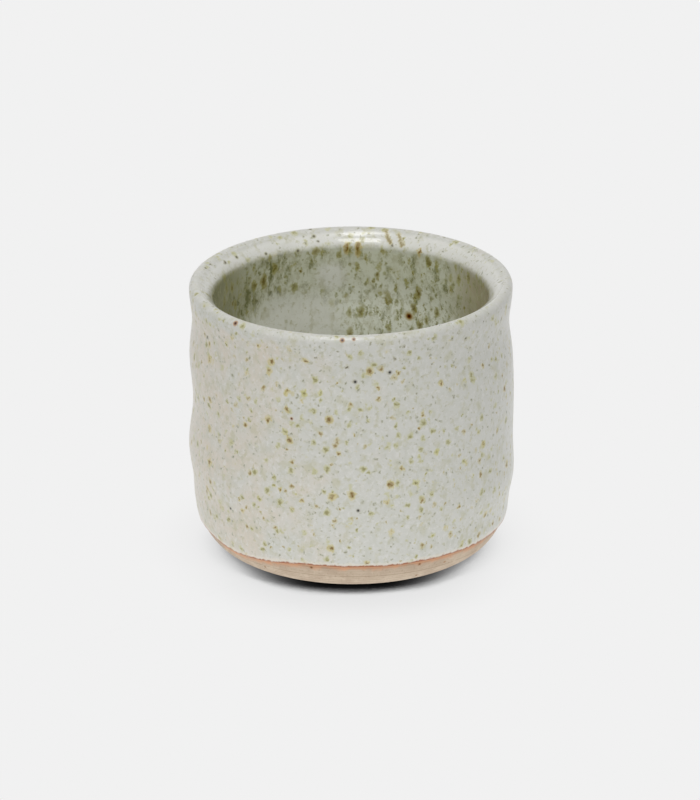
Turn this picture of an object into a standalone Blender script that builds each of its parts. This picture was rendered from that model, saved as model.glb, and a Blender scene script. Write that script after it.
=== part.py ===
"""A hand-thrown stoneware cocktail cup with no handle.

The cup is one thrown and turned clay body under two coats of glaze. The liner was poured
inside, and the outer coat was dipped over the wall and the lip, down to the glaze line.
The clay below that line is bare. Metres, +Z up, origin on the table under the cup's axis.
"""

import math

import bmesh
import bpy
from mathutils import Vector
from mathutils.geometry import interpolate_bezier

# Heights of the clay body, measured from the table or down from its crest
CREST_HEIGHT = 0.0702
BELLY_HEIGHT = 0.0272
NECK_DROP = 0.0093

# Outside diameters of the clay body
RIM_DIAMETER = 0.0804
FOOT_DIAMETER = 0.0572

# How far the wall swells out past the rim or draws in from it, on the radius
BELLY_SWELL = 0.00035
WAIST_INSET = 0.0002
SHOULDER_SWELL = 0.00005
NECK_INSET = 0.0008

# Where the waist and the shoulder lie between the belly and the neck
WAIST_SHARE = 0.36
SHOULDER_SHARE = 0.71

# Turned heel: one arc from the foot to the wall, by its slopes at the two ends
HEEL_RADIUS = 0.0128
HEEL_START = math.radians(10)
HEEL_END = math.radians(84)

# Thicknesses and roundings of the clay
WALL_THICKNESS = 0.0037
FLOOR_THICKNESS = 0.0056
LIP_ROUND = 0.0009
LIP_SLOPE = math.radians(42)
LIP_TURN = 0.0020
INNER_CORNER_RADIUS = 0.0120
FOOT_RING_WIDTH = 0.0065
FOOT_RECESS_DEPTH = 0.0015
FOOT_RECESS_SLOPE = 0.0012

# Glaze: coat thickness, the gap kept to the clay, and where the coats end
OUTER_COAT = 0.0005
LINER_COAT = 0.0005
GLAZE_GAP = 0.0003
GLAZE_LINE_HEIGHT = 0.0086
LINER_EDGE_DROP = 0.0057

# The glaze line dips on one side, where the cup was tilted in the bucket
GLAZE_DIP = 0.0017
GLAZE_DIP_ANGLE = math.radians(-136)
GLAZE_DIP_WIDTH = math.radians(31)
GLAZE_DIP_FADE = 0.0050

# Throwing marks: a spiral swell that the wall follows inside and out, longer with each turn
THROW_DEPTH = 0.00028
THROW_CREST_HEIGHT = 0.0195
THROW_PITCH = 0.0162
THROW_PITCH_GROWTH = 0.21
THROW_FADE = 0.0120

# The lip runs off centre and rises to one side
LIP_RUN_OFF = 0.00040
LIP_TILT = 0.0080
LIP_FADE = 0.0260

# Facets
AROUND = 44
HEEL_STEPS = 6
SWELL_STEPS = 3
LIP_ROUND_STEPS = 4
LIP_TURN_STEPS = 3
CORNER_STEPS = 5
SHARP_ANGLE = math.radians(40)
MERGE_DISTANCE = 0.000001

# Fired surfaces: colour and roughness
BARE_CLAY = ((0.50, 0.41, 0.31), 0.85)
SPECKLED_GLAZE = ((0.60, 0.60, 0.54), 0.25)
CELADON_LINER = ((0.50, 0.53, 0.45), 0.12)


def clear_scene():
    for item in list(bpy.data.objects):
        bpy.data.objects.remove(item, do_unlink=True)


# Outlines: lists of Vector((radius, height)), run from the foot over the lip to the floor


def arc(centre, radius_r, radius_z, start, end, steps):
    """Points on an ellipse about centre. Angle 0 points outwards, and a quarter turn points up."""
    angles = [start + (end - start) * step / steps for step in range(steps + 1)]
    return [centre + Vector((radius_r * math.cos(a), radius_z * math.sin(a))) for a in angles]


def swell(lower, upper, lean=0.0):
    """A soft curve between two heights of the wall, upright at both unless it leaves lower with a lean."""
    reach = (upper.y - lower.y) / 3
    leaving = lower + Vector((math.tan(lean), 1)) * reach
    arriving = upper - Vector((0, reach))
    knots = [point.to_3d() for point in (lower, leaving, arriving, upper)]
    return [point.to_2d() for point in interpolate_bezier(*knots, SWELL_STEPS + 1)]


def joined(*stretches):
    """One outline from stretches that meet end to end."""
    outline = list(stretches[0])
    for stretch in stretches[1:]:
        outline += stretch[1:]
    return outline


def heel_outline():
    """The turned heel, from the foot's outer edge up to the wall."""
    foot_edge = Vector((FOOT_DIAMETER / 2, 0))
    centre = foot_edge + HEEL_RADIUS * Vector((-math.sin(HEEL_START), math.cos(HEEL_START)))
    quarter = math.pi / 2
    return arc(centre, HEEL_RADIUS, HEEL_RADIUS, HEEL_START - quarter, HEEL_END - quarter, HEEL_STEPS)


def wall_outline(heel_top):
    """The outside of the wall: belly, waist, shoulder and neck, then out to the rim."""
    rim_radius = RIM_DIAMETER / 2
    neck_height = CREST_HEIGHT - NECK_DROP
    rise = neck_height - BELLY_HEIGHT
    stations = [
        Vector((rim_radius + BELLY_SWELL, BELLY_HEIGHT)),
        Vector((rim_radius - WAIST_INSET, BELLY_HEIGHT + WAIST_SHARE * rise)),
        Vector((rim_radius + SHOULDER_SWELL, BELLY_HEIGHT + SHOULDER_SHARE * rise)),
        Vector((rim_radius - NECK_INSET, neck_height)),
        Vector((rim_radius, CREST_HEIGHT - LIP_ROUND)),
    ]
    stretches = [swell(heel_top, stations[0], math.pi / 2 - HEEL_END)]
    stretches += [swell(lower, upper) for lower, upper in zip(stations, stations[1:])]
    return joined(*stretches)


def point_at_height(outline, height):
    """The point of a rising outline at this height."""
    for lower, upper in zip(outline, outline[1:]):
        if lower.y <= height <= upper.y:
            return lower.lerp(upper, (height - lower.y) / (upper.y - lower.y))
    raise ValueError("the outline doesn't reach this height")


def inner_wall_outline(wall):
    """The inside of the wall, parallel to the outside, from the neck down to the corner."""
    neck_height = CREST_HEIGHT - NECK_DROP
    corner_top = FLOOR_THICKNESS + INNER_CORNER_RADIUS
    between = [point for point in wall if corner_top < point.y < neck_height]
    outside = [point_at_height(wall, corner_top), *between, point_at_height(wall, neck_height)]
    return [point - Vector((WALL_THICKNESS, 0)) for point in reversed(outside)]


def lip_outline(inner_neck):
    """The lip: a tight round outside, a straight bevel inside, and a soft turn down to the inner neck."""
    quarter = math.pi / 2
    round_centre = Vector((RIM_DIAMETER / 2 - LIP_ROUND, CREST_HEIGHT - LIP_ROUND))
    outside = arc(round_centre, LIP_ROUND, LIP_ROUND, 0, quarter + LIP_SLOPE, LIP_ROUND_STEPS)
    turn_centre = Vector((inner_neck.x + LIP_TURN, 0))
    turn = arc(turn_centre, LIP_TURN, LIP_TURN, quarter + LIP_SLOPE, math.pi, LIP_TURN_STEPS)
    bevel_top = outside[-1]
    bevel_foot = bevel_top.y - (bevel_top.x - turn[0].x) * math.tan(LIP_SLOPE)
    lift = Vector((0, bevel_foot - turn[0].y))
    return [*outside, *[point + lift for point in turn]]


def floor_outline(corner_top):
    """The rounded inner corner and the flat floor, in to the axis."""
    centre = corner_top - Vector((INNER_CORNER_RADIUS, 0))
    corner = arc(centre, INNER_CORNER_RADIUS, INNER_CORNER_RADIUS, 0, -math.pi / 2, CORNER_STEPS)
    return [*corner, Vector((0, FLOOR_THICKNESS))]


def underside_outline():
    """The turned recess under the foot, from the axis out to the foot ring's outer edge."""
    ring_inner = FOOT_DIAMETER / 2 - FOOT_RING_WIDTH
    return [
        Vector((0, FOOT_RECESS_DEPTH)),
        Vector((ring_inner - FOOT_RECESS_SLOPE, FOOT_RECESS_DEPTH)),
        Vector((ring_inner, 0)),
        Vector((FOOT_DIAMETER / 2, 0)),
    ]


def cut_outside(outline, height):
    """The rest of an outline from where it first rises through this height."""
    for index, (lower, upper) in enumerate(zip(outline, outline[1:])):
        if lower.y <= height < upper.y:
            cut = lower.lerp(upper, (height - lower.y) / (upper.y - lower.y))
            return [cut, *outline[index + 1 :]]
    raise ValueError("the outline doesn't rise through this height")


def cut_inside(outline, height):
    """An outline in two, at the place where it last falls through this height."""
    for index in reversed(range(len(outline) - 1)):
        upper, lower = outline[index], outline[index + 1]
        if lower.y <= height < upper.y:
            cut = upper.lerp(lower, (upper.y - height) / (upper.y - lower.y))
            return [*outline[: index + 1], cut], [cut, *outline[index + 1 :]]
    raise ValueError("the outline doesn't fall through this height")


def offset(outline, distance):
    """The outline moved off the clay by this distance, square to its own run. The axis stays the axis."""
    moved = []
    for index, point in enumerate(outline):
        before = outline[max(index - 1, 0)]
        after = outline[min(index + 1, len(outline) - 1)]
        run = (after - before).normalized()
        away = Vector((run.y, -run.x))
        if point.x == 0:
            away = Vector((0, 1))
        moved.append(point + away * distance)
    return moved


def coat_outline(path, thickness):
    """A closed ring, or a sheet that ends on the axis, lying on the clay along path."""
    near_clay = offset(path, GLAZE_GAP)
    surface = offset(path, GLAZE_GAP + thickness)
    return [*reversed(near_clay), *surface]


# Hand work: how the thrown cup departs from a turned one


def eased(share):
    """A soft step from 0 to 1."""
    share = max(0.0, min(1.0, share))
    return share * share * (3 - 2 * share)


def throwing_marks(mesh):
    """Moves the wall in and out along a spiral that dies out at heel and lip, and sets the lip askew."""
    for vertex in mesh.verts:
        angle = math.atan2(vertex.co.y, vertex.co.x)
        climb = vertex.co.z - THROW_CREST_HEIGHT
        turns = climb / (THROW_PITCH + THROW_PITCH_GROWTH * max(climb, 0))
        above_heel = vertex.co.z - GLAZE_LINE_HEIGHT
        below_crest = CREST_HEIGHT - vertex.co.z
        depth = THROW_DEPTH * eased(above_heel / THROW_FADE) * eased(below_crest / THROW_FADE)
        spiral = depth * math.cos(math.tau * turns + angle)
        askew = 1 - eased(below_crest / LIP_FADE)
        vertex.co += spiral * Vector((math.cos(angle), math.sin(angle), 0))
        vertex.co += askew * Vector((-LIP_RUN_OFF, 0, LIP_TILT * vertex.co.x))


def dip_glaze_line(mesh, run):
    """Slides the outer coat's lower edge back along its run, on the side where the cup was tilted."""
    for vertex in mesh.verts:
        angle = math.atan2(vertex.co.y, vertex.co.x)
        aside = abs(math.remainder(angle - GLAZE_DIP_ANGLE, math.tau))
        above_line = vertex.co.z - GLAZE_LINE_HEIGHT
        drop = GLAZE_DIP * eased(1 - aside / GLAZE_DIP_WIDTH) * eased(1 - above_line / GLAZE_DIP_FADE)
        vertex.co -= drop * Vector((run.x * math.cos(angle), run.x * math.sin(angle), run.y))


# Solids


def turned(outline):
    """A bmesh of the outline turned once round the axis. Off the axis it is first closed to a ring."""
    mesh = bmesh.new()
    corners = [mesh.verts.new((point.x, 0, point.y)) for point in outline]
    pairs = list(zip(corners, corners[1:]))
    if outline[0].x > 0:
        pairs.append((corners[-1], corners[0]))
    edges = [mesh.edges.new(pair) for pair in pairs]
    bmesh.ops.spin(
        mesh,
        geom=[*corners, *edges],
        cent=(0, 0, 0),
        axis=(0, 0, 1),
        angle=math.tau,
        steps=AROUND,
        use_merge=True,
    )
    bmesh.ops.remove_doubles(mesh, verts=mesh.verts, dist=MERGE_DISTANCE)
    bmesh.ops.recalc_face_normals(mesh, faces=mesh.faces)
    return mesh


def finished(name, mesh, material, parent):
    """Puts a bmesh into the scene as a named, smooth-shaded solid."""
    data = bpy.data.meshes.new(name)
    mesh.to_mesh(data)
    mesh.free()
    data.shade_smooth()
    data.set_sharp_from_angle(angle=SHARP_ANGLE)
    data.materials.append(material)
    solid = bpy.data.objects.new(name, data)
    solid.parent = parent
    bpy.context.scene.collection.objects.link(solid)
    return solid


def fired(name, colour, roughness):
    """A fired ceramic surface."""
    material = bpy.data.materials.new(name)
    material.use_nodes = True
    shader = material.node_tree.nodes["Principled BSDF"]
    shader.inputs["Base Color"].default_value = (*colour, 1)
    shader.inputs["Roughness"].default_value = roughness
    shader.inputs["Metallic"].default_value = 0
    return material


def stoneware_body(outside, inside, cup):
    mesh = turned(joined(underside_outline(), outside, inside))
    throwing_marks(mesh)
    finished("stoneware_body", mesh, fired("bare_stoneware", *BARE_CLAY), cup)


def outer_glaze(path, cup):
    mesh = turned(coat_outline(path, OUTER_COAT))
    dip_glaze_line(mesh, (path[1] - path[0]).normalized())
    throwing_marks(mesh)
    finished("outer_glaze", mesh, fired("speckled_glaze", *SPECKLED_GLAZE), cup)


def liner_glaze(path, cup):
    mesh = turned(coat_outline(path, LINER_COAT))
    throwing_marks(mesh)
    finished("liner_glaze", mesh, fired("liner_celadon", *CELADON_LINER), cup)


def main():
    clear_scene()
    cup = bpy.data.objects.new("cup", None)
    bpy.context.scene.collection.objects.link(cup)

    heel = heel_outline()
    wall = wall_outline(heel[-1])
    inner_wall = inner_wall_outline(wall)
    outside = joined(heel, wall)
    lip = lip_outline(inner_wall[0])
    inside = [*lip, *joined(inner_wall, floor_outline(inner_wall[-1]))]
    stoneware_body(outside, inside, cup)

    glazed = cut_outside(joined(outside, inside), GLAZE_LINE_HEIGHT)
    meeting = CREST_HEIGHT - LINER_EDGE_DROP
    over_lip = cut_inside(glazed, meeting + GLAZE_GAP / 2)[0]
    lining = cut_inside(glazed, meeting - GLAZE_GAP / 2)[1]
    outer_glaze(over_lip, cup)
    liner_glaze(lining, cup)


main()
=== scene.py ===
"""A hand-thrown stoneware cocktail cup under a speckled oatmeal glaze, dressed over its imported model."""

import math

import bpy
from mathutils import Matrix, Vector, noise
from mathutils.geometry import interpolate_bezier


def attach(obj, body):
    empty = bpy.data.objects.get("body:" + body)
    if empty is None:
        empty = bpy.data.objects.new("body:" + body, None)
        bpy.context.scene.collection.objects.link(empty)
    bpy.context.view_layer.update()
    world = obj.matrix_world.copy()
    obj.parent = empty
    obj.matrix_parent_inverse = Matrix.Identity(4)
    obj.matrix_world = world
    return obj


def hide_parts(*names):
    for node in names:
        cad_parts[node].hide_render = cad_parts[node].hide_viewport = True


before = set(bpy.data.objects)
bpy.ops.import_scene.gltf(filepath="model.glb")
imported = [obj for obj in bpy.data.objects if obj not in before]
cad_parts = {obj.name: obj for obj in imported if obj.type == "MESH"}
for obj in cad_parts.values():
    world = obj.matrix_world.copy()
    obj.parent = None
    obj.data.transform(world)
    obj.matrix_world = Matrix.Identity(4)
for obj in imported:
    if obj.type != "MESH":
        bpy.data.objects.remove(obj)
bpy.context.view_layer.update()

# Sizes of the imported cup's clay, in metres
CREST_HEIGHT = 0.0702
BELLY_HEIGHT = 0.0272
NECK_HEIGHT = CREST_HEIGHT - 0.0093
WAIST_HEIGHT = BELLY_HEIGHT + 0.36 * (NECK_HEIGHT - BELLY_HEIGHT)
SHOULDER_HEIGHT = BELLY_HEIGHT + 0.71 * (NECK_HEIGHT - BELLY_HEIGHT)
RIM_RADIUS = 0.0402
BELLY_RADIUS = RIM_RADIUS + 0.00035
WAIST_RADIUS = RIM_RADIUS - 0.0002
SHOULDER_RADIUS = RIM_RADIUS + 0.00005
NECK_RADIUS = RIM_RADIUS - 0.0008
FOOT_RADIUS = 0.0286
HEEL_RADIUS = 0.0128
HEEL_START = math.radians(10)
HEEL_END = math.radians(84)
WALL_THICKNESS = 0.0037
FLOOR_THICKNESS = 0.0056
LIP_ROUND = 0.0009
LIP_SLOPE = math.radians(42)
LIP_BULGE = math.radians(14)
LIP_TURN = 0.0020
INNER_CORNER_RADIUS = 0.0120
FOOT_RING_WIDTH = 0.0065
FOOT_RECESS_DEPTH = 0.0015
FOOT_RECESS_SLOPE = 0.0012

# The coats lie straight on the clay here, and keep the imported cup's outer surface
CLAY_SWELL = 0.0003
FOOT_SWELL_HEIGHT = 0.0040
COAT = 0.0005
GLAZE_EDGE_ROLL = 0.0004
GLAZE_LINE_HEIGHT = 0.0086
GLAZE_SLIDE_REACH = 0.0060
LINER_EDGE_HEIGHT = CREST_HEIGHT - 0.0057

# The glaze line dips on one side, where the cup was tilted in the bucket, and wanders a little all round
GLAZE_DIP = 0.0017
GLAZE_DIP_ANGLE = math.radians(-136)
GLAZE_DIP_WIDTH = math.radians(31)
GLAZE_WANDER = 0.00022
GLAZE_WANDER_TURNS = 2.6
GLAZE_RIPPLE = 0.00010
GLAZE_RIPPLE_TURNS = 9.0
BURNT_REACH = 0.0020
FLASH_REACH = 0.0040

# Throwing marks: a spiral up the wall, finger rings on the floor, a soft unevenness and a lip set askew
THROW_DEPTH = 0.00028
THROW_CREST_HEIGHT = 0.0195
THROW_PITCH = 0.0162
THROW_PITCH_GROWTH = 0.21
THROW_FADE = 0.0120
FINGER_DEPTH = 0.00020
FINGER_PITCH = 0.0068
FINGER_REACH = 0.0240
UNEVENNESS = 0.00007
UNEVEN_SIZE = 0.0090
LIP_RUN_OFF = 0.00040
LIP_TILT = 0.0080
LIP_FADE = 0.0260

# How finely the pieces are drawn: points along each stretch of an outline, and steps round the cup
HEEL_STEPS = 48
BELLY_STEPS = 18
WALL_STEPS = 14
LIP_STEPS = 14
BEVEL_STEPS = 12
LIP_TURN_STEPS = 10
NECK_STEPS = 6
CORNER_STEPS = 20
FLOOR_STEPS = 36
RECESS_STEPS = 12
RECESS_SLOPE_STEPS = 3
FOOT_RING_STEPS = 4
GLAZE_EDGE_STEPS = 6
COAT_BACK_STRIDE = 8
AROUND = 192
QUARTER = math.pi / 2
SMOOTH_ANGLE = math.radians(35)
MERGE_DISTANCE = 0.000002
SEED_SIZE = 0.001
MM_PER_M = 1000

# Marks that stand out in the glaze, as (angle in degrees, height in mm, radius in mm); -90 faces the camera
BLACK_PINS = [
    (-89, 59, 0.55),
    (-76.5, 61, 0.55),
    (-139, 19.5, 0.45),
    (-88, 25, 0.5),
    (35, 52, 0.5),
    (112, 31, 0.5),
]
RUST_SPOTS = [(-135.5, 70.2, 0.7), (-93.5, 70.3, 0.6), (-89.5, 70.5, 0.45), (-111.5, 48.5, 0.4)]
LIP_SPECKS = [
    (143.5, 69.1, 0.6),
    (128.5, 67.8, 0.5),
    (105.5, 69.7, 0.6),
    (164.5, 70.4, 0.5),
    (113.5, 67, 0.6),
]
LIP_DRIPS = [(92.4, 66.9, 0.7), (87.7, 66.8, 0.9), (60.5, 67.6, 0.6)]
LINER_AMBER = [(65.5, 49, 1.1)]
LINER_RUST = [(65.5, 49, 0.7)]
PALE_PATCHES = [(122, 45, 11), (108, 46, 10), (99, 59, 4.5)]
GREEN_POOLS = [(126, 63, 5.5), (106, 65, 3), (138, 58, 5), (70, 65, 5), (50, 61, 4)]

# Streaks down the inner lip, each from one (angle, height) to another, in the same units
LIP_STREAKS = [((76.5, 70.6), (74, 68.4)), ((71.5, 70.4), (68.5, 68.3))]
STREAK_RADIUS = 0.6
STREAK_STEPS = 8

# A mark has faded out at this many times its radius
MARK_FADE = 1.4

# Spots have run down in the melt, so they are longer than wide: the width as a share of the length
WALL_RUN = 0.85
LINER_RUN = 0.5
DRIP_RUN = 0.4

# How raggedly a spot's edge strays, in metres, and the smallest iron grain as a share of the largest
SPOT_STRAY = 0.0022
SMALLEST_GRAIN = 0.3

# Where the glaze changes, from a start to an end in metres: by radius, by height or across the cup
INNER_LIP_RADIUS = (0.0380, 0.0370)
RIM_GLOSS_RADIUS = (0.0358, 0.0385)
LIP_EDGE_HEIGHT = (0.0686, 0.0655)
PEPPER_HEIGHT = (0.056, 0.062)
LINING_DEPTH = (0.071, 0.056)
# Painted shade on the lining towards its left and right ends, from a start to an end across the cup
LEFT_PAINTED_SHADE = (-0.021, -0.036)
RIGHT_PAINTED_SHADE = (0.022, 0.034)
LEFT_STREAKS = (-0.012, -0.034)

# How unevenly the lining pales, how the painted warm light on the wall grows towards the left, and the
# relief of every skin
LINING_DEPTH_WANDER = 0.016
LEFT_WARM_LIGHT_PER_METRE = -9.0
SKIN_RELIEF = 0.00008

# The camera: a long lens, 21 degrees above the table
CAMERA_AIM = Vector((-0.00058, 0, 0.03840))
CAMERA_RISE = math.radians(21.44)
CAMERA_DISTANCE = 1.8
CAMERA_LENS = 318.06
CAMERA_SENSOR = 36
CAMERA_REACH = 30

# Soft boxes, as (bearing from the camera's side, rise, width, depth, watts)
BOX_DISTANCE = 0.9
BOX_AIM = Vector((0, 0, 0.04))
FRONT_BOX = (math.radians(348), math.radians(60), 0.40, 0.24, 1.9)
FILL_BOX = (math.radians(18), math.radians(55), 0.85, 0.85, 1.5)
TOP_BOX = (math.radians(310), math.radians(85), 0.30, 0.20, 1.5)
SIDE_BOX = (math.radians(315), math.radians(35), 0.65, 0.65, 0.7)

# The paper sweep and the room round it
PAPER = "#F1F1F1"
SWEEP_SIZE = 12
# Painted bounce light: the sweep glows up to BOUNCE within the nearer reach, and not at all beyond the
# farther
BOUNCE_REACH = (0.7, 0.06)
BOUNCE = 1.35
ROOM_LIGHT = 0.33

# The sweep's painted shadow round the foot: each list pairs a share of open sky with a brightness
SHADOW_REACH = 0.04
SHADOW_SAMPLES = 16
FRONT_FACING = (0.45, 0.98)
SIDE_SHADOW = [(0, 0), (0.12, 0.33), (0.19, 0.42), (0.26, 0.72), (0.36, 0.84), (0.53, 0.95), (0.75, 1)]
FRONT_SHADOW = [(0, 0), (0.20, 0.01), (0.27, 0.09), (0.32, 0.30), (0.35, 0.86), (0.62, 0.92), (0.80, 1)]


# Outlines: lists of Vector((radius, height)), run from the foot over the lip to the middle of the floor


def arc(centre, radius, start, end, steps):
    """Points on a circle about centre. Angle 0 points outwards, and a quarter turn points up."""
    angles = [start + (end - start) * step / steps for step in range(steps + 1)]
    return [centre + radius * Vector((math.cos(a), math.sin(a))) for a in angles]


def straight(start, end, steps):
    """Points along a straight run."""
    return [start.lerp(end, step / steps) for step in range(steps + 1)]


def swell(lower, upper, steps, lean=0.0):
    """A soft curve between two heights of the wall, upright at both unless it leaves lower with a lean."""
    reach = (upper.y - lower.y) / 3
    leaving = lower + Vector((math.tan(lean), 1)) * reach
    knots = [point.to_3d() for point in (lower, leaving, upper - Vector((0, reach)), upper)]
    return [point.to_2d() for point in interpolate_bezier(*knots, steps + 1)]


def joined(*stretches):
    """One outline from stretches that meet end to end."""
    outline = list(stretches[0])
    for stretch in stretches[1:]:
        outline += stretch[1:]
    return outline


def clay_outside():
    """The heel and the wall, from the foot's outer edge up to the rim."""
    up_heel = Vector((-math.sin(HEEL_START), math.cos(HEEL_START)))
    centre = Vector((FOOT_RADIUS, 0)) + HEEL_RADIUS * up_heel
    heel = arc(centre, HEEL_RADIUS, HEEL_START - QUARTER, HEEL_END - QUARTER, HEEL_STEPS)
    stations = [
        Vector((BELLY_RADIUS, BELLY_HEIGHT)),
        Vector((WAIST_RADIUS, WAIST_HEIGHT)),
        Vector((SHOULDER_RADIUS, SHOULDER_HEIGHT)),
        Vector((NECK_RADIUS, NECK_HEIGHT)),
        Vector((RIM_RADIUS, CREST_HEIGHT - LIP_ROUND)),
    ]
    wall = [swell(heel[-1], stations[0], BELLY_STEPS, QUARTER - HEEL_END)]
    wall += [swell(lower, upper, WALL_STEPS) for lower, upper in zip(stations, stations[1:])]
    return joined(heel, *wall)


def clay_inside(outside):
    """The lip, the inside of the wall, the rounded corner and the floor, from the rim in to the axis."""
    round_centre = Vector((RIM_RADIUS - LIP_ROUND, CREST_HEIGHT - LIP_ROUND))
    bevel_start = QUARTER + LIP_SLOPE - LIP_BULGE
    bevel_end = QUARTER + LIP_SLOPE + LIP_BULGE
    lip = arc(round_centre, LIP_ROUND, 0, bevel_start, LIP_STEPS)
    inner_neck = Vector((NECK_RADIUS - WALL_THICKNESS, NECK_HEIGHT))
    lip_turn = arc(Vector((inner_neck.x + LIP_TURN, 0)), LIP_TURN, bevel_end, math.pi, LIP_TURN_STEPS)
    bevel_foot = lip[-1].y - (lip[-1].x - lip_turn[0].x) * math.tan(LIP_SLOPE)
    lip_turn = [point + Vector((0, bevel_foot - lip_turn[0].y)) for point in lip_turn]
    bevel_radius = (lip_turn[0] - lip[-1]).length / 2 / math.sin(LIP_BULGE)
    bevel_centre = lip[-1] - bevel_radius * Vector((math.cos(bevel_start), math.sin(bevel_start)))
    bevel = arc(bevel_centre, bevel_radius, bevel_start, bevel_end, BEVEL_STEPS)
    corner_top = FLOOR_THICKNESS + INNER_CORNER_RADIUS
    wall = [p - Vector((WALL_THICKNESS, 0)) for p in reversed(outside) if corner_top < p.y < NECK_HEIGHT]
    corner_centre = Vector((wall[-1].x - INNER_CORNER_RADIUS, corner_top))
    corner = arc(corner_centre, INNER_CORNER_RADIUS, 0, -QUARTER, CORNER_STEPS)
    floor = straight(corner[-1], Vector((0, FLOOR_THICKNESS)), FLOOR_STEPS)
    neck = straight(lip_turn[-1], inner_neck, NECK_STEPS)
    return joined(lip, bevel, lip_turn, neck, [inner_neck, *wall, corner[0]], corner, floor)


def underside():
    """The turned recess and the foot ring, from the axis out to the heel."""
    ring_inner = FOOT_RADIUS - FOOT_RING_WIDTH
    recess_edge = Vector((ring_inner - FOOT_RECESS_SLOPE, FOOT_RECESS_DEPTH))
    recess = straight(Vector((0, FOOT_RECESS_DEPTH)), recess_edge, RECESS_STEPS)
    slope = straight(recess_edge, Vector((ring_inner, 0)), RECESS_SLOPE_STEPS)
    ring = straight(Vector((ring_inner, 0)), Vector((FOOT_RADIUS, 0)), FOOT_RING_STEPS)
    return joined(recess, slope, ring)


def offset(outline, distance):
    """The outline moved off the clay by distance, square to its own run. The axis stays the axis."""
    moved = []
    for index, point in enumerate(outline):
        before = outline[max(index - 1, 0)]
        after = outline[min(index + 1, len(outline) - 1)]
        run = (after - before).normalized()
        away = Vector((run.y, -run.x)) if point.x > MERGE_DISTANCE else Vector((0, 1))
        moved.append(point + away * distance)
    return moved


def from_height(outline, height):
    """The rest of an outline from where it first rises through height."""
    for index, (lower, upper) in enumerate(zip(outline, outline[1:])):
        if lower.y <= height < upper.y:
            return [lower.lerp(upper, (height - lower.y) / (upper.y - lower.y)), *outline[index + 1 :]]


def split_inside(outline, height):
    """An outline in two, at the place where it last falls through height."""
    for index in reversed(range(len(outline) - 1)):
        upper, lower = outline[index], outline[index + 1]
        if lower.y <= height < upper.y:
            cut = upper.lerp(lower, (upper.y - height) / (upper.y - lower.y))
            return [*outline[: index + 1], cut], [cut, *outline[index + 1 :]]


def refined(path, length, parts):
    """A path with its first stretch of this length cut into short, equal parts."""
    index = 0
    left = length
    while (path[index + 1] - path[index]).length < left:
        left -= (path[index + 1] - path[index]).length
        index += 1
    end = path[index].lerp(path[index + 1], left / (path[index + 1] - path[index]).length)
    return [*straight(path[0], end, parts), *path[index + 1 :]]


def coat(path, roll):
    """The face and back of a coat of glaze along a path on the clay, rolled thin where it starts."""
    run = 0.0
    face = []
    thick = offset(path, COAT)
    for index, point in enumerate(path):
        run += (point - path[index - 1]).length if index else 0
        share = math.sqrt(1 - (1 - run / roll) ** 2) if run < roll else 1.0
        face.append(point.lerp(thick[index], share))
    back = [path[0], *path[COAT_BACK_STRIDE:-1:COAT_BACK_STRIDE], path[-1]]
    return face, back


# Hand work


def eased(share):
    """A soft step from 0 to 1."""
    share = max(0.0, min(1.0, share))
    return share * share * (3 - 2 * share)


def glaze_line(angle):
    """How far the glaze line departs from its level at this angle round the cup."""
    aside = abs(math.remainder(angle - GLAZE_DIP_ANGLE, math.tau))
    dip = -GLAZE_DIP * eased(1 - aside / GLAZE_DIP_WIDTH)
    around = Vector((math.cos(angle), math.sin(angle), 0))
    wander = GLAZE_WANDER * noise.noise(around * GLAZE_WANDER_TURNS)
    ripple = GLAZE_RIPPLE * noise.noise(around * GLAZE_RIPPLE_TURNS)
    return dip + wander + ripple


def throw(piece):
    """Gives a turned piece its throwing marks."""
    for vertex in piece.data.vertices:
        angle = math.atan2(vertex.co.y, vertex.co.x)
        radius = math.hypot(vertex.co.x, vertex.co.y)
        climb = vertex.co.z - THROW_CREST_HEIGHT
        turns = climb / (THROW_PITCH + THROW_PITCH_GROWTH * max(climb, 0))
        off_heel = eased((vertex.co.z - GLAZE_LINE_HEIGHT) / THROW_FADE)
        below_crest = CREST_HEIGHT - vertex.co.z
        off_lip = eased(below_crest / THROW_FADE)
        spiral = THROW_DEPTH * off_heel * off_lip * math.cos(math.tau * turns + angle)
        uneven = UNEVENNESS * off_heel * noise.noise(vertex.co / UNEVEN_SIZE)
        askew = 1 - eased(below_crest / LIP_FADE)
        vertex.co += (spiral + uneven) * Vector((math.cos(angle), math.sin(angle), 0))
        vertex.co += askew * Vector((-LIP_RUN_OFF, 0, LIP_TILT * vertex.co.x))
        if radius < FINGER_REACH and vertex.co.z > FLOOR_THICKNESS / 2:
            fade = eased((FINGER_REACH - radius) / FINGER_PITCH) * eased(radius / FINGER_PITCH)
            vertex.co.z += FINGER_DEPTH * fade * math.cos(math.tau * radius / FINGER_PITCH + angle)


def slide_glaze_edge(piece, run):
    """Slides the coat's lower edge up and down the heel to the glaze line."""
    for vertex in piece.data.vertices:
        angle = math.atan2(vertex.co.y, vertex.co.x)
        near = eased(1 - (vertex.co.z - GLAZE_LINE_HEIGHT) / GLAZE_SLIDE_REACH)
        shift = near * glaze_line(angle)
        vertex.co += shift * Vector((run.x * math.cos(angle), run.x * math.sin(angle), run.y))


def mark_glaze_edge(piece, reach):
    """Stores how near each point is to the glaze line: 1 on it, and 0 from reach on."""
    near = piece.data.attributes.new("near_glaze_line", "FLOAT", "POINT")
    for vertex, mark in zip(piece.data.vertices, near.data):
        angle = math.atan2(vertex.co.y, vertex.co.x)
        away = abs(vertex.co.z - GLAZE_LINE_HEIGHT - glaze_line(angle))
        mark.value = max(0.0, 1 - away / reach)


# Pieces


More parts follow.
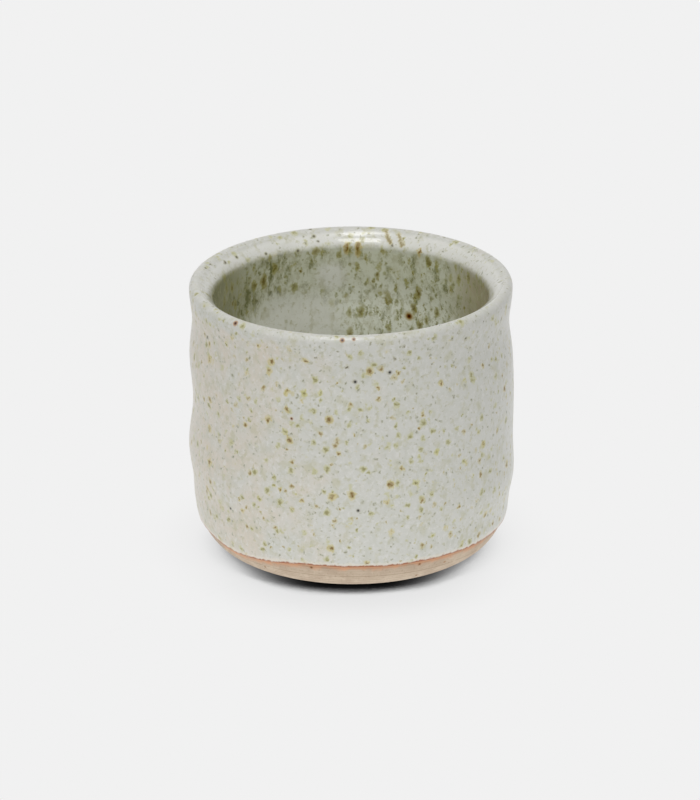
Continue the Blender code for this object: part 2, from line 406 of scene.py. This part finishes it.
def turn(name, outline):
    """Draws an outline beside the axis from a plane shrunk to its first point, then spins it once round."""
    bpy.ops.object.select_all(action="DESELECT")
    bpy.ops.mesh.primitive_plane_add(size=SEED_SIZE)
    piece = bpy.context.object
    piece.name = name
    piece.data.name = name
    bpy.ops.object.mode_set(mode="EDIT")
    bpy.ops.mesh.merge(type="CENTER")
    bpy.ops.transform.translate(value=(outline[0].x, 0, outline[0].y))
    for here, there in zip(outline, outline[1:]):
        step = there - here
        bpy.ops.mesh.extrude_region_move(TRANSFORM_OT_translate={"value": (step.x, 0, step.y)})
    bpy.ops.mesh.select_all(action="SELECT")
    bpy.ops.mesh.spin(steps=AROUND, angle=math.tau, center=(0, 0, 0), axis=(0, 0, 1))
    bpy.ops.mesh.select_all(action="SELECT")
    bpy.ops.mesh.remove_doubles(threshold=MERGE_DISTANCE)
    bpy.ops.mesh.normals_make_consistent(inside=False)
    bpy.ops.object.mode_set(mode="OBJECT")
    bpy.ops.object.shade_smooth_by_angle(angle=SMOOTH_ANGLE)
    return piece


def finish_piece(piece, material, node):
    """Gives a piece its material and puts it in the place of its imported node."""
    piece.data.materials.append(material)
    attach(piece, "root")
    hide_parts(node)


# Materials


def linear(code):
    """The linear colour of an sRGB hex value."""
    channels = [int(code[i : i + 2], 16) / 255 for i in (1, 3, 5)]
    return (*[c / 12.92 if c <= 0.04045 else ((c + 0.055) / 1.055) ** 2.4 for c in channels], 1)


def per_mm(size):
    """The texture scale at which one cell of a pattern is size millimetres."""
    return MM_PER_M / size


def put(tree, kind, inputs, **settings):
    """Adds a node. settings are its properties; inputs hold values, or sockets or nodes that feed it."""
    node = tree.nodes.new("ShaderNode" + kind)
    for name, value in settings.items():
        setattr(node, name, value)
    for socket, value in inputs.items():
        if isinstance(value, bpy.types.Node):
            value = next(output for output in value.outputs if output.enabled)
        if isinstance(value, bpy.types.NodeSocket):
            tree.links.new(value, node.inputs[socket])
        else:
            node.inputs[socket].default_value = value
    return node


def new_material(name):
    """An empty material and its node tree."""
    material = bpy.data.materials.new(name)
    material.use_nodes = True
    material.node_tree.nodes.clear()
    return material, material.node_tree


def laid_over(tree, under, over, pattern, start, end, most=1.0):
    """A colour laid over another where a pattern goes softly from start to end, to at most this share."""
    share = put(tree, "MapRange", {0: pattern, 1: start, 2: end, 4: most}, interpolation_type="SMOOTHSTEP")
    return put(tree, "Mix", {0: share, 6: under, 7: linear(over)}, data_type="RGBA")


def strewn(tree, place, spacing, radius):
    """A mask of iron grains, one to a cell of this spacing and of up to this radius, in millimetres."""
    grains = put(tree, "TexVoronoi", {"Vector": place, "Scale": per_mm(spacing)})
    lot = put(tree, "SeparateColor", {"Color": grains.outputs["Color"]})
    largest = radius / spacing
    reach = put(tree, "MapRange", {0: lot, 3: SMALLEST_GRAIN * largest, 4: largest})
    share = put(tree, "Math", {0: grains, 1: reach}, operation="DIVIDE")
    return put(tree, "MapRange", {0: share, 1: 1.0, 2: 0.0})


def set_in(tree, place, points, radii):
    """A mask of single spots, each fading out evenly from its own point of the surface."""
    mask = 0.0
    for point, radius in zip(points, radii):
        away = put(tree, "VectorMath", {0: place, 1: point}, operation="DISTANCE")
        spot = put(tree, "MapRange", {0: away, 1: MARK_FADE * radius, 2: 0.0})
        mask = put(tree, "Math", {0: mask, 1: spot}, operation="MAXIMUM")
    return mask


def stained(tree, under, mask, halo, core, depth):
    """Iron spots bled into a colour: a faint halo round each, and a core that deepens to its middle."""
    faint = laid_over(tree, under, halo, mask, 0.0, 0.4, 0.7)
    return laid_over(tree, faint, core, mask, 0.3, 0.85, depth)


def outward(angle):
    """The level direction out from the axis at this angle, in degrees."""
    return Vector((math.cos(math.radians(angle)), math.sin(math.radians(angle)), 0))


def spots_on(piece, spots):
    """The points on a piece's outer face, and the radii, of spots given by angle, height and radius."""
    points = []
    for angle, height, _ in spots:
        clear_of_cup = Vector((0, 0, height / MM_PER_M)) + 2 * RIM_RADIUS * outward(angle)
        points.append(piece.ray_cast(clear_of_cup, -outward(angle))[1])
    return points, [radius / MM_PER_M for _, _, radius in spots]


def spots_in(piece, spots, squeeze=1.0):
    """The same on a piece's inner face, with heights squeezed where the spots have run."""
    points = []
    for angle, height, _ in spots:
        point = piece.ray_cast(Vector((0, 0, height / MM_PER_M)), outward(angle))[1]
        points.append(point * Vector((1, 1, squeeze)))
    return points, [radius / MM_PER_M for _, _, radius in spots]


def smeared(streaks):
    """The spots that run together into streaks, each from one angle and height down to another."""
    spots = []
    for start, end in streaks:
        path = straight(Vector(start), Vector(end), STREAK_STEPS)
        spots += [(angle, height, STREAK_RADIUS) for angle, height in path]
    return spots


def bare_stoneware():
    """Buff stoneware, trimmed on the wheel and left bare: dry and sandy, with fine turning lines, specks of
    iron and an orange flash where it meets the glaze."""
    material, tree = new_material("bare_stoneware")
    place = put(tree, "TexCoord", {}).outputs["Object"]
    near = put(tree, "Attribute", {}, attribute_name="near_glaze_line").outputs["Fac"]
    level = put(tree, "VectorMath", {0: place, 1: (1, 1, 0)}, operation="MULTIPLY")
    radius = put(tree, "VectorMath", {0: level}, operation="LENGTH")
    height = put(tree, "SeparateXYZ", {0: place}).outputs["Z"]
    along = put(tree, "Math", {0: radius, 1: height}, operation="ADD")

    clouds = put(tree, "TexNoise", {"Vector": place, "Scale": per_mm(6), "Detail": 4.0})
    lines = put(tree, "TexNoise", {"W": along, "Scale": per_mm(1.1), "Detail": 3.0}, noise_dimensions="1D")
    sand = put(tree, "TexNoise", {"Vector": place, "Scale": per_mm(0.5), "Detail": 3.0})
    patches = put(tree, "TexNoise", {"Vector": place, "Scale": per_mm(3), "Detail": 3.0})
    warmth = put(tree, "Math", {0: patches, 1: 0.8, 2: near}, operation="MULTIPLY_ADD")
    clay = laid_over(tree, linear("#B8A48E"), "#C4B29C", clouds, 0.35, 0.65)
    clay = laid_over(tree, clay, "#8E7A62", lines, 0.48, 0.78, 0.6)
    clay = laid_over(tree, clay, "#CDBCA6", patches, 0.52, 0.72, 0.5)
    clay = laid_over(tree, clay, "#96806A", sand, 0.52, 0.78, 0.6)
    clay = laid_over(tree, clay, "#D29A74", warmth, 0.98, 1.40, 0.85)
    clay = stained(tree, clay, strewn(tree, place, 3.4, 0.6), "#A97A4C", "#5A3A22", 0.85)

    rise = put(tree, "Math", {0: lines, 1: 2.0, 2: sand}, operation="MULTIPLY_ADD")
    dry = put(tree, "Bump", {"Strength": 0.5, "Distance": SKIN_RELIEF, "Height": rise})
    skin = put(tree, "BsdfPrincipled", {"Base Color": clay, "Roughness": 0.85, "Normal": dry})
    put(tree, "OutputMaterial", {"Surface": skin})
    return material


def wall_glaze(tree, place, sagged, across_wall, bevel):
    """The colour of the wall and the lip: clouded, warmer in places and towards the left as painted warm
    light, and whitest on the bevel, partly from thin glaze and partly as painted light on its upward slope.
    """
    clouds = put(tree, "TexNoise", {"Vector": place, "Scale": per_mm(9), "Detail": 3.0})
    # Warmer in random clouds, and more so towards the left, where this is painted warm light
    thin = put(tree, "Math", {0: across_wall, 1: LEFT_WARM_LIGHT_PER_METRE, 2: clouds}, operation="MULTIPLY_ADD")
    pools = put(tree, "TexNoise", {"Vector": sagged, "Scale": per_mm(2.4), "Detail": 3.0})
    bloom = put(tree, "TexNoise", {"Vector": sagged, "Scale": per_mm(0.9), "Detail": 1.0})
    wall = laid_over(tree, linear("#CFCFC8"), "#D3CBBD", thin, 0.50, 0.90)
    wall = laid_over(tree, wall, "#C1C2B4", pools, 0.46, 0.72, 0.5)
    wall = laid_over(tree, wall, "#DCDBD7", bloom, 0.50, 0.75, 0.6)
    # Whitest on the bevel: partly thin glaze over the lip, partly painted light on its upward slope
    return laid_over(tree, wall, "#E6E6E0", bevel, 0.0, 1.0, 0.65)


def lining_glaze(tree, run, across, height, green_pools, pale_patches):
    """The colour inside: grey-green, paler lower down, darkened at both sides by painted shade,
    olive-tinted at the left and brown-tinted at the right, with green pools and pale patches.
    """
    thick = put(tree, "TexNoise", {"Vector": run, "Scale": per_mm(5), "Detail": 3.0})
    deep = put(tree, "Math", {0: thick, 1: LINING_DEPTH_WANDER, 2: height}, operation="MULTIPLY_ADD")
    streaks = put(tree, "TexNoise", {"Vector": run, "Scale": per_mm(1.7), "Detail": 3.0, "Roughness": 0.6})
    start, end = LEFT_STREAKS
    streaked = put(tree, "MapRange", {0: across, 1: start, 2: end, 4: 0.05})
    murky = put(tree, "Math", {0: streaked, 1: streaks}, operation="ADD")
    murk = put(tree, "Math", {0: green_pools, 1: 0.17, 2: murky}, operation="MULTIPLY_ADD")
    lining = laid_over(tree, linear("#D5D8C5"), "#EDF0E5", deep, *LINING_DEPTH)
    # Painted shade at the ends of the lining: olive-tinted at the left, brown-tinted at the right
    lining = laid_over(tree, lining, "#8C8A5E", across, *LEFT_PAINTED_SHADE)
    lining = laid_over(tree, lining, "#9C8C68", across, *RIGHT_PAINTED_SHADE, 0.9)
    lining = laid_over(tree, lining, "#9C9C6C", murk, 0.46, 0.66, 0.55)
    lining = laid_over(tree, lining, "#626426", murk, 0.58, 0.76, 0.8)
    return laid_over(tree, lining, "#E8E9E2", pale_patches, 0.10, 0.65, 0.9)


def speckled_glaze(dipped, liner):
    """Oatmeal glaze over iron-flecked clay: clouded white and satin, with the iron bled through it in amber
    and olive spots. Over the lip and inside it is glossier. Inside it lies thicker and grey-green, and its
    spots have run."""
    material, tree = new_material("speckled_glaze")
    place = put(tree, "TexCoord", {}).outputs["Object"]
    level = put(tree, "VectorMath", {0: place, 1: (1, 1, 0)}, operation="MULTIPLY")
    radius = put(tree, "VectorMath", {0: level}, operation="LENGTH")
    axes = put(tree, "SeparateXYZ", {0: place})
    across, height = axes.outputs["X"], axes.outputs["Z"]

    # Spots have ragged edges, as each point looks a little aside of where it is, and they have run down
    crumbs = {"Vector": place, "Scale": per_mm(1.3), "Detail": 3.0, "Roughness": 0.65}
    ragged = put(tree, "TexNoise", crumbs)
    aside = put(tree, "VectorMath", {0: ragged.outputs["Color"], 1: (0.5,) * 3}, operation="SUBTRACT")
    strayed = put(tree, "VectorMath", {0: aside, 1: (SPOT_STRAY,) * 3, 2: place}, operation="MULTIPLY_ADD")
    sagged = put(tree, "VectorMath", {0: strayed, 1: (1, 1, WALL_RUN)}, operation="MULTIPLY")
    run = put(tree, "VectorMath", {0: strayed, 1: (1, 1, LINER_RUN)}, operation="MULTIPLY")
    dripped = put(tree, "VectorMath", {0: strayed, 1: (1, 1, DRIP_RUN)}, operation="MULTIPLY")

    # Masks: the inside ends raggedly below the lip's bevel, and its spots keep clear of the pale patches
    start, end = INNER_LIP_RADIUS
    inner = put(tree, "MapRange", {0: radius, 1: start, 2: end})
    ragged_height = put(tree, "SeparateXYZ", {0: strayed}).outputs["Z"]
    start, end = LIP_EDGE_HEIGHT
    below_lip = put(tree, "MapRange", {0: ragged_height, 1: start, 2: end}, interpolation_type="SMOOTHSTEP")
    inside = put(tree, "Math", {0: inner, 1: below_lip}, operation="MULTIPLY")
    outside = put(tree, "Math", {0: 1.0, 1: inside}, operation="SUBTRACT")
    outer_wall = put(tree, "Math", {0: outside, 1: below_lip}, operation="MULTIPLY")
    bevel = put(tree, "Math", {0: inner, 1: inside}, operation="SUBTRACT")
    start, end = PEPPER_HEIGHT
    upper = put(tree, "MapRange", {0: height, 1: start, 2: end})
    neck = put(tree, "Math", {0: upper, 1: outside}, operation="MULTIPLY")
    pale_patches = set_in(tree, place, *spots_in(liner, PALE_PATCHES))
    clear = put(tree, "MapRange", {0: pale_patches, 1: 0.6, 2: 0.1})
    bled = put(tree, "Math", {0: clear, 1: inside}, operation="MULTIPLY")

    across_wall = put(tree, "Math", {0: across, 1: below_lip}, operation="MULTIPLY")
    wall = wall_glaze(tree, place, sagged, across_wall, bevel)
    green_pools = set_in(tree, place, *spots_in(liner, GREEN_POOLS))
    lining = lining_glaze(tree, run, across, height, green_pools, pale_patches)
    body = put(tree, "Mix", {0: inside, 6: wall, 7: lining}, data_type="RGBA")
    stains = put(tree, "TexNoise", {"Vector": sagged, "Scale": per_mm(3.2), "Detail": 2.0})
    freckles = put(tree, "TexNoise", {"Vector": sagged, "Scale": per_mm(1.1), "Detail": 2.0})
    body = laid_over(tree, body, "#BBB998", stains, 0.54, 0.74, 0.5)
    body = laid_over(tree, body, "#B8B694", freckles, 0.55, 0.72, 0.55)

    # Iron strewn through the clay: coordinates, spacing and radius in mm, where it shows, halo, core, depth
    fine = (sagged, 1.5, 0.62, outside, "#C0C0AE", "#8C8A72", 0.85)
    olive = (sagged, 3.0, 1.2, outside, "#C5C394", "#868044", 0.8)
    amber = (sagged, 3.6, 1.05, outer_wall, "#C8C094", "#866A24", 0.85)
    dots = (run, 1.3, 0.68, bled, "#AEAE80", "#6A6628", 0.6)
    green = (run, 2.5, 1.2, bled, "#A8A460", "#6E621C", 0.75)
    moss = (sagged, 5.6, 1.2, outer_wall, "#C8C484", "#706826", 0.85)
    brown = (sagged, 5.0, 1.4, outer_wall, "#CCC082", "#785A14", 0.95)
    pepper = (strayed, 3.6, 0.9, neck, "#B8B69E", "#463A18", 0.9)
    amber_runs = (run, 4.5, 1.5, bled, "#A09850", "#6A5A14", 0.85)
    strewings = (fine, olive, amber, dots, green, moss, brown, pepper, amber_runs)
    for coordinates, spacing, largest, where, halo, core, depth in strewings:
        grains = strewn(tree, coordinates, spacing, largest)
        mask = put(tree, "Math", {0: grains, 1: where}, operation="MULTIPLY")
        body = stained(tree, body, mask, halo, core, depth)

    # The marks that stand out: coordinates, points and radii, halo, core, depth
    marks = [
        (place, spots_on(dipped, RUST_SPOTS), "#B48448", "#3C0C00", 1),
        (place, spots_on(dipped, BLACK_PINS), "#A8A494", "#100E08", 1),
        (dripped, spots_in(dipped, LIP_DRIPS, DRIP_RUN), "#C6B468", "#7C5C0C", 0.95),
        (strayed, spots_in(dipped, smeared(LIP_STREAKS)), "#CDC6A0", "#86722E", 0.75),
        (place, spots_in(dipped, LIP_SPECKS), "#BEBC9C", "#56523A", 0.9),
        (place, spots_in(liner, LINER_AMBER), "#B4A058", "#8A620C", 1),
        (place, spots_in(liner, LINER_RUST), "#84520C", "#3C1000", 1),
    ]
    for coordinates, spots, halo, core, depth in marks:
        body = stained(tree, body, set_in(tree, coordinates, *spots), halo, core, depth)

    # Thin and pale above the glaze line, and burnt orange on it
    near = put(tree, "Attribute", {}, attribute_name="near_glaze_line").outputs["Fac"]
    ragged_edge = put(tree, "Math", {0: ragged, 1: 0.7, 2: near}, operation="MULTIPLY_ADD")
    body = laid_over(tree, body, "#E2DACC", ragged_edge, 0.60, 0.92, 0.6)
    body = laid_over(tree, body, "#A2653E", ragged_edge, 0.98, 1.24)

    # Satin on the wall, glossier inside and glossiest on the bevel, with a faint orange peel
    peel = put(tree, "TexNoise", {"Vector": place, "Scale": per_mm(2.2), "Detail": 2.0})
    start, end = RIM_GLOSS_RADIUS
    rim_satin = put(tree, "MapRange", {0: radius, 1: start, 2: end, 3: 0.04, 4: 0.26})
    lining_satin = put(tree, "Math", {0: below_lip, 1: 0.16}, operation="MULTIPLY")
    satin = put(tree, "Math", {0: rim_satin, 1: lining_satin}, operation="MAXIMUM")
    gloss = put(tree, "Math", {0: peel, 1: 0.06, 2: satin}, operation="MULTIPLY_ADD")
    melt = put(tree, "Bump", {"Strength": 0.35, "Distance": SKIN_RELIEF, "Height": peel})
    skin = put(tree, "BsdfPrincipled", {"Base Color": body, "Roughness": gloss, "Normal": melt})
    put(tree, "OutputMaterial", {"Surface": skin})
    return material


# The cup

outer_outline = clay_outside()
clay_outline = joined(outer_outline, clay_inside(outer_outline))
swollen = offset(clay_outline, CLAY_SWELL)
clay_surface = [
    point.lerp(moved, eased(point.y / FOOT_SWELL_HEIGHT)) for point, moved in zip(clay_outline, swollen)
]
glazed = from_height(clay_surface, GLAZE_LINE_HEIGHT)
over_lip, down_inside = split_inside(glazed, LINER_EDGE_HEIGHT)
over_lip = refined(over_lip, GLAZE_EDGE_ROLL, GLAZE_EDGE_STEPS)
heel_run = (over_lip[GLAZE_EDGE_STEPS + 2] - over_lip[0]).normalized()

cup = turn("stoneware_cup", joined(underside(), clay_surface))
throw(cup)
mark_glaze_edge(cup, FLASH_REACH)
finish_piece(cup, bare_stoneware(), "stoneware_body")

dip_face, dip_back = coat(over_lip, GLAZE_EDGE_ROLL)
dipped_glaze = turn("dipped_glaze", [*dip_face, *reversed(dip_back), dip_face[0]])
slide_glaze_edge(dipped_glaze, heel_run)
throw(dipped_glaze)
mark_glaze_edge(dipped_glaze, BURNT_REACH)

pour_face, pour_back = coat(down_inside, 0)
poured_liner = turn("poured_liner", [*reversed(pour_back), *pour_face])
throw(poured_liner)

bpy.context.view_layer.update()
glaze = speckled_glaze(dipped_glaze, poured_liner)
finish_piece(dipped_glaze, glaze, "outer_glaze")
finish_piece(poured_liner, glaze, "liner_glaze")


# Studio


def seen(tree):
    """1 for the rays that show the room itself: straight to the camera, or by way of a reflection."""
    rays = put(tree, "LightPath", {}).outputs
    glossy, passing = rays["Is Glossy Ray"], rays["Is Transmission Ray"]
    mirrored = put(tree, "Math", {0: glossy, 1: passing}, operation="MAXIMUM")
    return put(tree, "Math", {0: rays["Is Camera Ray"], 1: mirrored}, operation="MAXIMUM")


def shadow(tree, open_sky, levels):
    """The sweep's brightness for the share of open sky above it."""
    tones = put(tree, "ValToRGB", {0: open_sky})
    for where, _ in levels[1:-1]:
        tones.color_ramp.elements.new(where)
    for stop, (where, level) in zip(tones.color_ramp.elements, levels):
        stop.position = where
        stop.color = (level, level, level, 1)
    return tones


def white_sweep():
    """White paper that glows instead of taking the lamps' light. It shows near white with a painted contact
    shadow, broad at the sides and short in front, as if the front box shone under the heel. Round the cup
    it glows brighter, as painted bounce light thrown back up."""
    bpy.ops.object.select_all(action="DESELECT")
    bpy.ops.mesh.primitive_plane_add(size=SWEEP_SIZE)
    floor = bpy.context.object
    floor.name = "floor"
    material, tree = new_material("white_sweep")
    place = put(tree, "TexCoord", {}).outputs["Object"]
    away = put(tree, "VectorMath", {0: place}, operation="LENGTH")
    towards = put(tree, "VectorMath", {0: place}, operation="NORMALIZE")
    facing = put(tree, "VectorMath", {0: towards, 1: (0, -1, 0)}, operation="DOT_PRODUCT")
    start, end = FRONT_FACING
    front = put(tree, "MapRange", {0: facing, 1: start, 2: end}, interpolation_type="SMOOTHSTEP")
    # Painted contact shadow: the paper darkens by how little sky the cup leaves open, more sharply in front
    occlusion = put(tree, "AmbientOcclusion", {"Distance": SHADOW_REACH}, samples=SHADOW_SAMPLES)
    open_sky = occlusion.outputs["AO"]
    sides = shadow(tree, open_sky, SIDE_SHADOW)
    ahead = shadow(tree, open_sky, FRONT_SHADOW)
    shade = put(tree, "Mix", {0: front, 6: sides, 7: ahead}, data_type="RGBA")
    start, end = BOUNCE_REACH
    # Painted bounce light: for rays that do not show the paper, it glows brighter near the cup
    bounce = put(tree, "MapRange", {0: away, 1: start, 2: end, 4: BOUNCE}, interpolation_type="SMOOTHSTEP")
    level = put(tree, "Mix", {0: seen(tree), 2: bounce, 3: shade})
    paper = put(tree, "Emission", {"Color": linear(PAPER), "Strength": level})
    put(tree, "OutputMaterial", {"Surface": paper})
    floor.data.materials.append(material)


def pale_room():
    """A dim room, which shows as pale as the sweep."""
    world = bpy.data.worlds.new("pale_room")
    bpy.context.scene.world = world
    world.use_nodes = True
    tree = world.node_tree
    tree.nodes.clear()
    level = put(tree, "MapRange", {0: seen(tree), 3: ROOM_LIGHT, 4: 1.0})
    air = put(tree, "Background", {"Color": linear(PAPER), "Strength": level})
    put(tree, "OutputWorld", {"Surface": air})


def soft_box(bearing, rise, width, depth, watts):
    """A soft box on its stand, aimed at the cup."""
    level = Vector((math.sin(bearing), -math.cos(bearing), 0))
    way = level * math.cos(rise) + Vector((0, 0, math.sin(rise)))
    bpy.ops.object.light_add(type="AREA", location=BOX_AIM + BOX_DISTANCE * way)
    box = bpy.context.object
    box.data.shape = "RECTANGLE"
    box.data.size = width
    box.data.size_y = depth
    box.data.energy = watts
    box.rotation_mode = "QUATERNION"
    box.rotation_quaternion = (-way).to_track_quat("-Z", "Y")


def camera():
    """Sets up the camera and makes it the scene's."""
    back = Vector((0, -math.cos(CAMERA_RISE), math.sin(CAMERA_RISE)))
    bpy.ops.object.camera_add(location=CAMERA_AIM + CAMERA_DISTANCE * back)
    eye = bpy.context.object
    eye.rotation_mode = "QUATERNION"
    eye.rotation_quaternion = (-back).to_track_quat("-Z", "Y")
    eye.data.lens = CAMERA_LENS
    eye.data.sensor_width = CAMERA_SENSOR
    eye.data.clip_end = CAMERA_REACH
    bpy.context.scene.camera = eye


white_sweep()
pale_room()
for box in (FRONT_BOX, FILL_BOX, TOP_BOX, SIDE_BOX):
    soft_box(*box)
camera()
bpy.context.scene.view_settings.view_transform = "Standard"
